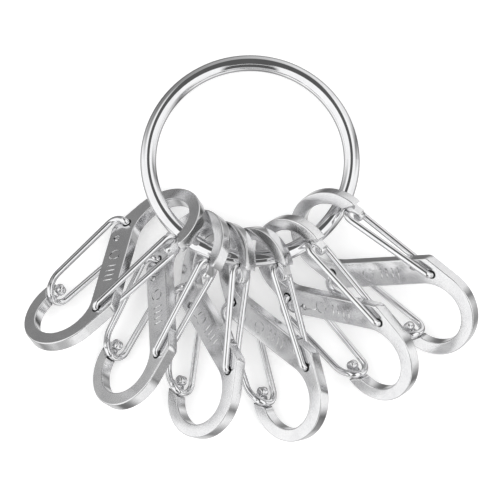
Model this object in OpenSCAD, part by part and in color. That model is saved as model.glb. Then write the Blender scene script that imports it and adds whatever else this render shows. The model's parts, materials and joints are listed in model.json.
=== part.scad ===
// Carabiner keyring: a closed round-wire ring that carries six flat steel
// S-clips. Each clip is a stamped plate with two sprung wire gates.
// Millimetres, +Z up. The keyring lies on a flat surface at z = 0, with the
// middle of its overall box over the origin and the ring towards +Y.

/* [Ring] */
// Outside diameter of the ring
ring_d = 38; // [36:0.5:42]
// Diameter of the ring's round wire
ring_wire_d = 2.8; // [2:0.1:3]
// Lean of the ring, whose clip side is held up by the clips
ring_tilt = 9.6; // [6:0.1:10]

/* [Clip body] */
// Length of a clip
clip_l = 38; // [37:0.5:40]
// Width of a clip across both loops
clip_w = 16.6; // [16:0.1:17]
// Thickness of the stamped plate
plate_t = 2.2; // [1.8:0.1:2.4]
// Width of the diagonal bar between the two loops
bar_w = 4.6; // [4:0.1:5]
// Inside radius of a loop
loop_r = 5.4; // [5.2:0.1:5.5]

/* [Gates] */
// Diameter of the spring wire
gate_wire_d = 1.15; // [0.9:0.05:1.15]
// Height of a gate leg's centre line over the plate's middle
gate_leg_z = 1.85; // [1.85:0.05:2]
// How far a gate swings inwards
gate_swing = 25; // [10:1:25]
// Radial clearance of a wire end in its hole
pin_clearance = 0.07; // [0.02:0.01:0.1]

/* [Hidden] */
CLIPS = [1, 2, 3, 4, 5, 6];
$fn = 72;

// How the clips lie, from left to right. For each clip: its place round the
// ring, the heading of its long axis, the rise of its upper end, its lean
// about its long axis (degrees), and the point of its upper loop, across and
// along, that the ring's wire passes through (millimetres)
CLIP_LIES = [
    [-143.8, -48.9, -1.7, -48.3, [-1.1, 12.8]],
    [-123.2, -29.9, 3, -48.6, [-1.4, 12.8]],
    [-105.3, -7.4, -0.8, -45, [0.4, 13]],
    [-86.5, 14.2, 1.7, -44.1, [0.4, 13.3]],
    [-67.2, 39.1, -2.8, -47.2, [-0.2, 12.8]],
    [-41.1, 50.8, -4, -39.5, [0, 12.8]]
];

ring_mid_r = (ring_d - ring_wire_d) / 2;
ring_mid = [-0.2, 15.1, ring_wire_d / 2 + ring_mid_r * sin(ring_tilt)];

// Half of the clip's outline, seen from its front with the long axis upright:
// the upper loop's inside, the bar's upper edge and the lower loop's outside.
// The other half is the same turned half a turn. The outer arc's centre lies a
// little across the clip's middle, and the inside is set off from the outside
outer_shift = 0.3;
band_w = 2.85;
inner_shift = 0.35;
outer_x = clip_w / 2;
outer_r = outer_x - outer_shift;
outer_y = clip_l / 2 - outer_r;
inner_x = outer_x - band_w;
inner_y = outer_y + inner_shift;
shoulder_r = 1.5;
corner_r = 5.9;
bar_off = bar_w / sqrt(2);
nose_out_a = 184;
nose_in_a = 175;
arc_step = 5;

// How far a cut runs past the face it opens
cut_past = 1;

// Places of the two wire-end holes of the upper gate, and the gate's far end,
// which has a short flat between its two bends. Straights and bends of a wire
// lap a little, and the bends are a little thicker
hole = [6.4, -7.3];
rear_hole = [5.05, -4.05];
gate_end = [5.1, 11.1];
hole_r = gate_wire_d / 2 + pin_clearance;
wire_bend_r = gate_leg_z - plate_t / 2;
far_flat = 0.2;
far_bend_r = gate_leg_z - far_flat / 2;
wire_lap = 0.03;
bend_extra_d = 0.006;

// Shape of the holes and the slot, and how deep the wire ends reach into them
rear_arm = norm(rear_hole - hole);
rear_a = atan2(rear_hole[1] - hole[1], rear_hole[0] - hole[0]);
slot_play = 0.1;
slot_end_a = 12;
slot_floor_z = -0.1;
front_end_z = -0.9;
rear_end_z = -0.2;
end_seat_depth = 0.4;
end_sink = 0.12;

// Plain stamped marks on the bar's front: a round groove and a row of strokes,
// placed along the bar from the clip's middle
stamp_depth = 0.12;
stamp_line = 0.32;
stamp_ring_at = -2.5;
stamp_ring_r = 1.15;
stamp_strokes_at = [0, 1.1, 2.2, 3.3];
stamp_stroke_l = 1.9;

// Bends of the lower gate's front leg, which bows out past the shoulder
bow = [[8.8, -6.4], [7.35, 8.3]];
bow_bend_r = [1.8, 4];

// Neck and knob that a gate's far end hooks round
knob = [5.85, 9];
knob_d = 1.8;
knob_ball_d = 2.1;
neck_x = 6.33;
neck_w = 0.85;
neck_t = 1.8;
neck_root_y = 12.2;

plate_steel = "#bfc2c4";
ring_steel = "#d0d3d5";
wire_steel = "#e2e4e5";

// ---------- helpers ----------

// Points of an arc about c, from angle a0 to angle a1
function arc(c, r, a0, a1) =
    let (n = ceil(abs(a1 - a0) / arc_step))
    [for (i = [0:n]) c + r * [cos(a0 + (a1 - a0) * i / n), sin(a0 + (a1 - a0) * i / n)]];

// Centre of an arc of radius r that blends the upright line at x = side into
// the bar's slanted edge x + y = off
function blend_centre(side, off, r) = [side - r, off - side + r - r * sqrt(2)];

function unit(v) = v / norm(v);

// Moves the children so that +X lies along x, +Y along y, and their origin at p
module place(p, x, y) {
    z = cross(x, y);
    multmatrix([
        [x[0], y[0], z[0], p[0]],
        [x[1], y[1], z[1], p[1]],
        [x[2], y[2], z[2], p[2]],
        [0, 0, 0, 1]
    ])
        children();
}

// Angle that a path of points turns through at point i, and how much of each
// neighbouring straight a bend of radius r takes there
function turn_a(p, i) = acos(unit(p[i] - p[i - 1]) * unit(p[i + 1] - p[i]));
function bend_cut(p, r, i) =
    i == 0 || i == len(p) - 1 ? 0 : r[i] * tan(turn_a(p, i) / 2);

// Bent round wire through the points p; r[i] is the bend's radius at point i.
// Each straight reaches a hair into its bends, which are a hair thicker
module bent_wire(p, r, d) {
    for (i = [0:len(p) - 2]) {
        u = unit(p[i + 1] - p[i]);
        start = bend_cut(p, r, i) - (i == 0 ? 0 : wire_lap);
        stop = bend_cut(p, r, i + 1) - (i == len(p) - 2 ? 0 : wire_lap);
        side = unit(cross(u, abs(u[2]) < 0.9 ? [0, 0, 1] : [1, 0, 0]));
        place(p[i] + u * start, side, cross(u, side))
            cylinder(h = norm(p[i + 1] - p[i]) - start - stop, d = d);
    }
    for (i = [1:len(p) - 2]) {
        u = unit(p[i] - p[i - 1]);
        v = unit(p[i + 1] - p[i]);
        inward = unit(v - u * (u * v));
        place(p[i] - u * bend_cut(p, r, i) + inward * r[i], -inward, u)
            rotate_extrude(angle = turn_a(p, i))
                translate([r[i], 0])
                    circle(d = d + bend_extra_d);
    }
}

function at_z(p, z) = [p[0], p[1], z];

// Point of the ring's wire at angle a
function ring_point(a) = ring_mid
    + ring_mid_r * [cos(a), sin(a) * cos(ring_tilt), -sin(a) * sin(ring_tilt)];

// Puts a clip, drawn upright about its own middle, where clip i hangs
module hang(i) {
    lie = CLIP_LIES[i - 1];
    translate(ring_point(lie[0]))
        rotate([0, 0, lie[1]])
            rotate([lie[2], 0, 0])
                rotate([0, lie[3], 0])
                    translate(-at_z(lie[4], 0))
                        children();
}

// ---------- parts ----------

module ring() {
    color(ring_steel)
        translate(ring_mid)
            rotate([-ring_tilt, 0, 0])
                rotate_extrude()
                    translate([ring_mid_r, 0])
                        circle(d = ring_wire_d);
}

function half_outline() =
    let (
        in_c = [inner_x - loop_r, -inner_y],
        in_corner = blend_centre(inner_x, -bar_off, corner_r),
        out_corner = blend_centre(outer_x, bar_off, shoulder_r)
    )
    concat(
        -1 * arc(in_c, loop_r, -nose_in_a, 0),
        -1 * arc(in_corner, corner_r, 0, 45),
        arc(out_corner, shoulder_r, 45, 0),
        arc([outer_x - outer_r, -outer_y], outer_r, 0, -nose_out_a)
    );

// One loop's nose: a thin neck and a round knob, drawn for the upper loop
module neck_and_knob() {
    translate([neck_x - neck_w / 2, knob[1], -neck_t / 2])
        cube([neck_w, neck_root_y - knob[1], neck_t]);
    translate(at_z(knob, 0))
        intersection() {
            cylinder(h = neck_t, d = knob_d, center = true);
            sphere(d = knob_ball_d);
        }
}

// Holes for the upper gate's wire ends. The rear end needs room to swing in,
// so it has a short curved slot at the back, and the front shows only the
// round end of its hole with the wire's tip in it, a little below the face
module gate_holes() {
    translate(at_z(hole, 0))
        cylinder(h = plate_t + 2 * cut_past, r = hole_r, center = true);
    translate(at_z(rear_hole, plate_t / 2 - end_seat_depth))
        difference() {
            cylinder(h = plate_t, r = hole_r);
            cylinder(h = end_seat_depth - end_sink, d = gate_wire_d - pin_clearance);
        }
    translate(at_z(hole, -plate_t))
        rotate([0, 0, rear_a - slot_end_a])
            rotate_extrude(angle = gate_swing + 2 * slot_end_a)
                translate([rear_arm - gate_wire_d / 2 - slot_play, 0])
                    square([gate_wire_d + 2 * slot_play, plate_t + slot_floor_z]);
}

// Cuts the stamped marks into a plate's front
module stamped_marks() {
    translate([0, 0, plate_t / 2 - stamp_depth])
        rotate([0, 0, -45]) {
            translate([stamp_ring_at, 0])
                difference() {
                    cylinder(h = plate_t, r = stamp_ring_r);
                    translate([0, 0, -cut_past])
                        cylinder(h = plate_t + 2 * cut_past, r = stamp_ring_r - stamp_line);
                }
            for (x = stamp_strokes_at)
                translate([x - stamp_line / 2, -stamp_stroke_l / 2])
                    cube([stamp_line, stamp_stroke_l, plate_t]);
        }
}

module clip_body(i) {
    half = half_outline();
    color(plate_steel)
        hang(i)
            difference() {
                union() {
                    linear_extrude(plate_t, center = true)
                        polygon(concat(half, -1 * half));
                    for (turn = [0, 180])
                        rotate([0, 0, turn])
                            neck_and_knob();
                }
                for (turn = [0, 180])
                    rotate([0, 0, turn])
                        gate_holes();
                stamped_marks();
            }
}

// A gate's wire, from its front end round its far end to its rear end, with
// extra points on the front leg
module gate_wire(front_bends, front_bend_r) {
    points = concat(
        [at_z(hole, front_end_z), at_z(hole, gate_leg_z)],
        [for (b = front_bends) at_z(b, gate_leg_z)],
        [at_z(gate_end, gate_leg_z), at_z(gate_end, -gate_leg_z)],
        [at_z(rear_hole, -gate_leg_z), at_z(rear_hole, rear_end_z)]
    );
    radii = concat(
        [0, wire_bend_r],
        front_bend_r,
        [far_bend_r, far_bend_r, wire_bend_r, 0]
    );
    color(wire_steel)
        bent_wire(points, radii, gate_wire_d);
}

module upper_gate(i) {
    hang(i)
        gate_wire([], []);
}

module lower_gate(i) {
    hang(i)
        rotate([0, 0, 180])
            gate_wire(bow, bow_bend_r);
}

ring();
for (i = CLIPS) {
    clip_body(i);
    upper_gate(i);
    lower_gate(i);
}
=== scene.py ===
"""Looks of the carabiner keyring: a closed round-wire ring and six flat steel
S-clips with sprung wire gates, on a pale floor in soft studio light."""
import json
import math

import bmesh
import bpy
from mathutils import Matrix, Vector


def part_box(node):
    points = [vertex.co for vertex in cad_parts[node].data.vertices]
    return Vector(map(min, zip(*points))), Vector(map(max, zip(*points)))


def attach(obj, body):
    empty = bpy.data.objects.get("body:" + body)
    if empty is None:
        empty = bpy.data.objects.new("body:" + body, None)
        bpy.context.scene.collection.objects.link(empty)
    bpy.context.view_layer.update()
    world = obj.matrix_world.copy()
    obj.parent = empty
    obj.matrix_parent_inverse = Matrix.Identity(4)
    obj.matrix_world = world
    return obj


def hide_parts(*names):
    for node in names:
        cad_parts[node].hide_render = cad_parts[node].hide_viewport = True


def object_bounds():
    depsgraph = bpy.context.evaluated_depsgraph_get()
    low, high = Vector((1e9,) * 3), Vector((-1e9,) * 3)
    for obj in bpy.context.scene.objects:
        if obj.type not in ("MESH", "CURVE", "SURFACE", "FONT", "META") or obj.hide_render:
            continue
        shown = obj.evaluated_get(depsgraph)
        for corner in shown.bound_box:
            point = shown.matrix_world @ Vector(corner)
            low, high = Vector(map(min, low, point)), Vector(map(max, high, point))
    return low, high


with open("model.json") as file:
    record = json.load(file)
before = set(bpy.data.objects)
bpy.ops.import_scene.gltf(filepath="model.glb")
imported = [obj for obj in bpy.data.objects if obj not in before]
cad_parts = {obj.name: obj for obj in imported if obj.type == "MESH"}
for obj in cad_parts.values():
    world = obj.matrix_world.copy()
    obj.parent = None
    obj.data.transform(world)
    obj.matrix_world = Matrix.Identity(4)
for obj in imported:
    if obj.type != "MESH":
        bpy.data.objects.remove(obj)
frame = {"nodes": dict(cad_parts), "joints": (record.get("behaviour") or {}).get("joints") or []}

MM = 0.001
CLIPS = range(1, 7)
CAD_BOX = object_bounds()

# Places of a clip's two gate hinges in the clip's own frame, whose origin is
# the clip's middle, +Y its long axis and +Z its front
HINGE = Vector((6.4, -7.3, 0)) * MM

# Bright rounded edge of a stamped plate: its width, the least height of a wall that has one, how far
# the hinge holes keep it away, and how square to the plate's front a face or a wall has to be
EDGE_WIDTH = 0.22 * MM
WALL_HEIGHT = 2 * MM
HOLE_ZONE = 0.9 * MM
FACE_SQUARE = 0.99
WALL_SQUARE = 0.1
SAME_PLACE = 1e-7
SAME_PLANE = math.radians(0.5)
SHARP_ANGLE = math.radians(50)

# Roughness of a plate's walls against its faces, and how far apart in mm the six plates' patterns lie
WALL_POLISH = 0.4
PATTERN_STEP = 20

# Camera, above the keyring and leaning a little towards its lower edge
CAMERA_RISE = math.radians(84)
VIEW_WIDTH = 86.45 * MM
VIEW_DROP = 15.4 * MM
CAMERA_DISTANCE = 3

# Floor and light
FLOOR_RADIUS = 0.5
FLOOR_GAP = 0.02 * MM
FLOOR_GLOW = 0.32
ROOM_STRENGTH = 1.1
LAMP_STRENGTH = 1.3
LAMP_SPREAD = math.radians(100)


# ---------- small helpers ----------

def joint(name):
    return next(j for j in frame["joints"] if j["name"] == name)


def clip_frame(i):
    """Matrix from clip i's own frame to the row's frame, worked out from its gates' hinges."""
    upper = Vector(joint(f"upper_gate_swing_{i}")["pos_m"])
    lower = Vector(joint(f"lower_gate_swing_{i}")["pos_m"])
    z = Vector(joint(f"clip_swing_{i}")["axis"]).normalized()
    towards_upper = (upper - lower).normalized()
    x = Matrix.Rotation(-math.atan2(HINGE.y, HINGE.x), 3, z) @ towards_upper
    y = z.cross(x)
    turn = Matrix((x, y, z)).transposed().to_4x4()
    return Matrix.Translation((upper + lower) / 2) @ turn


class Shader:
    """Short calls for building one material's or the world's nodes."""

    def __init__(self, tree):
        self.tree = tree
        tree.nodes.clear()

    def node(self, kind, **settings):
        made = self.tree.nodes.new(kind)
        for key, value in settings.items():
            if isinstance(value, (int, float, tuple)) and key in made.inputs:
                made.inputs[key].default_value = value
            else:
                setattr(made, key, value)
        return made

    def link(self, out, into):
        self.tree.links.new(out, into)

    def ramp(self, value, stops):
        """Colour ramp over value; a stop is (place, grey) or (place, (r, g, b))."""
        made = self.node("ShaderNodeValToRGB")
        made.color_ramp.interpolation = "LINEAR"
        points = made.color_ramp.elements
        while len(points) < len(stops):
            points.new(0.5)
        for point, (place, shade) in zip(points, stops):
            rgb = shade if isinstance(shade, tuple) else (shade,) * 3
            point.position = place
            point.color = (*rgb, 1)
        self.link(value, made.inputs["Fac"])
        return made.outputs["Color"]

    def math(self, kind, a, b):
        made = self.node("ShaderNodeMath", operation=kind)
        for socket, value in zip(made.inputs, (a, b)):
            if isinstance(value, (int, float)):
                socket.default_value = value
            else:
                self.link(value, socket)
        return made.outputs[0]

    def multiply(self, a, b, factor=None):
        """Colour a times colour b, all over or only as far as factor says."""
        made = self.node("ShaderNodeMix", data_type="RGBA", blend_type="MULTIPLY")
        made.inputs["Factor"].default_value = 1.0
        if factor is not None:
            self.link(factor, made.inputs["Factor"])
        self.link(a, made.inputs["A"])
        self.link(b, made.inputs["B"])
        return made.outputs["Result"]

    def noise(self, where, scale, detail=3.0, roughness=0.5, stretch=(1, 1, 1)):
        spread = self.node("ShaderNodeVectorMath", operation="MULTIPLY")
        spread.inputs[1].default_value = stretch
        self.link(where, spread.inputs[0])
        made = self.node("ShaderNodeTexNoise", Scale=scale, Detail=detail, Roughness=roughness)
        self.link(spread.outputs[0], made.inputs["Vector"])
        return made.outputs["Fac"]


# ---------- materials ----------

def painted_shade_at_holes(s, where, shade):
    """The steel's colour with painted shade: a near-black ring round each hinge hole, where the wire
    goes into it.
    """
    flat = s.node("ShaderNodeVectorMath", operation="MULTIPLY")
    flat.inputs[1].default_value = (1, 1, 0)
    s.link(where, flat.inputs[0])
    mirrored = s.node("ShaderNodeVectorMath", operation="ABSOLUTE")
    s.link(flat.outputs[0], mirrored.inputs[0])
    away = s.node("ShaderNodeVectorMath", operation="DISTANCE")
    away.inputs[1].default_value = (HINGE.x / MM, -HINGE.y / MM, 0)
    s.link(mirrored.outputs[0], away.inputs[0])
    return s.multiply(shade, s.ramp(away.outputs["Value"], [(0.74, 0.04), (0.92, 1.0)]))


def steel(name, tint, stain, rough_low, rough_high, grain, grain_scale, grain_stretch, bump, own_frame):
    """Polished stainless steel with fine directional grain, faint stains and a mottled polish."""
    mat = bpy.data.materials.new(name)
    mat.use_nodes = True
    s = Shader(mat.node_tree)
    out = s.node("ShaderNodeOutputMaterial")
    bsdf = s.node("ShaderNodeBsdfPrincipled", Metallic=1.0)
    s.link(bsdf.outputs[0], out.inputs["Surface"])
    if own_frame:
        where = s.node("ShaderNodeAttribute", attribute_name="clip_mm").outputs["Vector"]
    else:
        spread = s.node("ShaderNodeVectorMath", operation="SCALE")
        spread.inputs["Scale"].default_value = 1 / MM
        s.link(s.node("ShaderNodeTexCoord").outputs["Object"], spread.inputs[0])
        where = spread.outputs[0]
    lines = s.noise(where, grain_scale, 4.0, 0.6, grain_stretch)
    clouds = s.noise(where, 0.35, 3.0, 0.55)
    specks = s.noise(where, 3.5, 3.0, 0.7)
    shade = s.ramp(clouds, [(0.3, stain), (0.65, tint)])
    if own_frame:
        # painted shade: a near-black ring round each hinge hole, where the wire goes into the plate
        shade = painted_shade_at_holes(s, where, shade)
        shade = s.multiply(shade, s.ramp(specks, [(0.35, 0.94), (0.6, 1.0)]))
    s.link(shade, bsdf.inputs["Base Color"])
    mixed = s.math("ADD", s.math("MULTIPLY", lines, grain), s.math("MULTIPLY", clouds, 1 - grain))
    rough = s.ramp(mixed, [(0.35, rough_low), (0.7, rough_high)])
    if own_frame:
        off_middle = s.node("ShaderNodeAttribute", attribute_name="face_height").outputs["Fac"]
        rough = s.multiply(rough, s.ramp(off_middle, [(0.80, WALL_POLISH), (0.95, 1.0)]))
    s.link(rough, bsdf.inputs["Roughness"])
    height = s.math("ADD", lines, s.math("MULTIPLY", specks, 0.8))
    bumps = s.node("ShaderNodeBump", Strength=bump, Distance=0.02 * MM)
    s.link(height, bumps.inputs["Height"])
    s.link(bumps.outputs[0], bsdf.inputs["Normal"])
    return mat


PLATE = steel("plate_steel", (0.88, 0.88, 0.885), (0.80, 0.80, 0.81),
              0.13, 0.22, 0.7, 5.0, (4, 0.35, 1), 0.20, True)
RING = steel("ring_steel", (0.86, 0.86, 0.87), (0.80, 0.80, 0.81),
             0.04, 0.10, 0.5, 3.0, (1, 1, 1), 0.03, False)
WIRE = steel("wire_steel", (0.88, 0.88, 0.89), (0.82, 0.82, 0.83),
             0.06, 0.13, 0.5, 6.0, (1, 1, 1), 0.05, False)


def use(obj, mat):
    obj.data.materials.clear()
    obj.data.materials.append(mat)


# ---------- pieces ----------

def outline_edges(bm, to_clip):
    """Edges between a plate's faces and its full-height walls, away from the hinge holes."""
    inward = to_clip.to_3x3()
    found = []
    for edge in bm.edges:
        if len(edge.link_faces) != 2:
            continue
        tilts = [abs((inward @ face.normal).z) for face in edge.link_faces]
        if max(tilts) < FACE_SQUARE or min(tilts) > WALL_SQUARE:
            continue
        wall = edge.link_faces[tilts.index(min(tilts))]
        heights = [(to_clip @ vert.co).z for vert in wall.verts]
        middle = to_clip @ ((edge.verts[0].co + edge.verts[1].co) / 2)
        middle.z = 0
        near_hole = min((middle - HINGE).length, (middle + HINGE).length) < HOLE_ZONE
        if max(heights) - min(heights) > WALL_HEIGHT and not near_hole:
            found.append(edge)
    return found


def bevelled_clip(i):
    """A stamped plate with rounded bright edges, on the CAD plate's own outline."""
    node = f"clip_body_{i}"
    to_clip = clip_frame(i).inverted()
    mesh = frame["nodes"][node].data.copy()
    mesh.materials.clear()
    bm = bmesh.new()
    bm.from_mesh(mesh)
    bmesh.ops.remove_doubles(bm, verts=bm.verts, dist=SAME_PLACE)
    bmesh.ops.dissolve_limit(bm, angle_limit=SAME_PLANE, verts=bm.verts, edges=bm.edges)
    bm.normal_update()
    bmesh.ops.bevel(bm, geom=outline_edges(bm, to_clip), offset=EDGE_WIDTH, offset_type="OFFSET",
                    segments=3, profile=0.5, affect="EDGES", clamp_overlap=False)
    bm.to_mesh(mesh)
    bm.free()
    mesh.polygons.foreach_set("use_smooth", [True] * len(mesh.polygons))
    mesh.set_sharp_from_angle(angle=SHARP_ANGLE)
    mesh.attributes.new("clip_mm", "FLOAT_VECTOR", "POINT")
    mesh.attributes.new("face_height", "FLOAT", "POINT")
    # both are looked up only now, because adding one makes an earlier reference stale
    own = mesh.attributes["clip_mm"].data
    height = mesh.attributes["face_height"].data
    for vertex in mesh.vertices:
        place = (to_clip @ vertex.co) / MM
        own[vertex.index].vector = place + Vector((0, 0, PATTERN_STEP * i))
        height[vertex.index].value = abs(place.z)
    piece = bpy.data.objects.new(f"clip_plate_{i}", mesh)
    bpy.context.scene.collection.objects.link(piece)
    even = piece.modifiers.new("flat_faces", "WEIGHTED_NORMAL")
    even.mode = "FACE_AREA"
    even.weight = 100
    even.keep_sharp = True
    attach(piece, f"clip_{i}")
    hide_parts(node)
    use(piece, PLATE)


for clip in CLIPS:
    bevelled_clip(clip)
    for side in ("upper", "lower"):
        gate = frame["nodes"][f"{side}_gate_{clip}"]
        gate.data.materials.clear()
        gate.data.materials.append(WIRE)
frame["nodes"]["ring"].data.materials.clear()
frame["nodes"]["ring"].data.materials.append(RING)


# ---------- camera, floor and light ----------

def camera():
    low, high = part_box("ring")
    ring_mid = (Vector(low) + Vector(high)) / 2
    back = Vector((0, -math.cos(CAMERA_RISE), math.sin(CAMERA_RISE)))
    up = Vector((0, math.sin(CAMERA_RISE), math.cos(CAMERA_RISE)))
    data = bpy.data.cameras.new("camera")
    data.lens = data.sensor_width * CAMERA_DISTANCE / VIEW_WIDTH
    made = bpy.data.objects.new("camera", data)
    made.location = ring_mid - up * VIEW_DROP + back * CAMERA_DISTANCE
    made.rotation_euler = (math.pi / 2 - CAMERA_RISE, 0, 0)
    bpy.context.scene.collection.objects.link(made)
    bpy.context.scene.camera = made


def floor():
    bm = bmesh.new()
    bmesh.ops.create_circle(bm, cap_ends=True, segments=96, radius=FLOOR_RADIUS)
    mesh = bpy.data.meshes.new("floor")
    bm.to_mesh(mesh)
    bm.free()
    made = bpy.data.objects.new("floor", mesh)
    made.location.z = CAD_BOX[0][2] - FLOOR_GAP
    bpy.context.scene.collection.objects.link(made)
    mat = bpy.data.materials.new("floor")
    mat.use_nodes = True
    s = Shader(mat.node_tree)
    out = s.node("ShaderNodeOutputMaterial")
    bsdf = s.node("ShaderNodeBsdfPrincipled", Roughness=0.9)
    bsdf.inputs["Base Color"].default_value = (0.93, 0.93, 0.93, 1)
    bsdf.inputs["Emission Color"].default_value = (1, 1, 1, 1)
    bsdf.inputs["Emission Strength"].default_value = FLOOR_GLOW
    s.link(bsdf.outputs[0], out.inputs["Surface"])
    mesh.materials.append(mat)
    made.visible_glossy = False


def studio():
    """White room seen in the steel: a dark strip overhead along Y, and darker parts near the horizon."""
    world = bpy.data.worlds.new("studio")
    bpy.context.scene.world = world
    world.use_nodes = True
    s = Shader(world.node_tree)
    out = s.node("ShaderNodeOutputWorld")
    light = s.node("ShaderNodeBackground", Strength=ROOM_STRENGTH)
    way = s.node("ShaderNodeTexCoord").outputs["Generated"]
    split = s.node("ShaderNodeSeparateXYZ")
    s.link(way, split.inputs[0])
    heading = s.node("ShaderNodeTexGradient", gradient_type="RADIAL")
    s.link(way, heading.inputs["Vector"])
    rise = s.math("MULTIPLY", s.math("ADD", split.outputs["Z"], 1), 0.5)
    by_rise = s.ramp(rise, [(0.0, 0.7), (0.07, 0.6), (0.12, 0.3), (0.22, 0.42), (0.34, 1.0)])
    # heading 0 is -X, 0.25 is -Y, 0.5 is +X and 0.75 is +Y
    around = s.ramp(heading.outputs["Fac"], [
        (0.0, 1.0), (0.17, 1.0), (0.21, 0.5), (0.25, 0.5), (0.29, 0.9), (0.37, 0.9),
        (0.41, 0.2), (0.45, 0.9), (0.53, 0.95), (0.57, 0.2), (0.61, 0.9), (0.70, 0.8),
        (0.75, 0.5), (0.80, 0.35), (0.87, 0.2), (0.91, 0.4), (0.95, 1.0)])
    near_horizon = s.ramp(rise, [(0.05, 0.0), (0.15, 1.0), (0.66, 1.0), (0.82, 0.0)])
    room = s.multiply(by_rise, around, near_horizon)
    # the strip's shade across X, a thin bright streak in it, and where it fades towards the horizon
    widening = s.math("MULTIPLY", s.math("ABSOLUTE", s.math("ADD", split.outputs["Y"], 0.1), 0), 0.3)
    off_strip = s.math("SUBTRACT", s.math("ABSOLUTE", split.outputs["X"], 0), widening)
    across = s.ramp(off_strip, [(0.0, 0.10), (0.10, 0.10), (0.17, 1.0)])
    along = s.math("MULTIPLY", s.math("ADD", split.outputs["Y"], 1), 0.5)
    streak = s.ramp(along, [(0.315, 0.0), (0.33, 1.0), (0.352, 1.0), (0.365, 0.0)])
    strip = s.math("MAXIMUM", across, streak)
    overhead = s.ramp(rise, [(0.66, 0.0), (0.76, 1.0)])
    s.link(s.multiply(room, strip, overhead), light.inputs["Color"])
    s.link(light.outputs[0], out.inputs["Surface"])
    lamp = bpy.data.lights.new("soft_lamp", "SUN")
    lamp.energy = LAMP_STRENGTH
    lamp.angle = LAMP_SPREAD
    made = bpy.data.objects.new("soft_lamp", lamp)
    made.visible_glossy = False
    bpy.context.scene.collection.objects.link(made)


camera()
floor()
studio()
bpy.context.scene.view_settings.view_transform = "Standard"
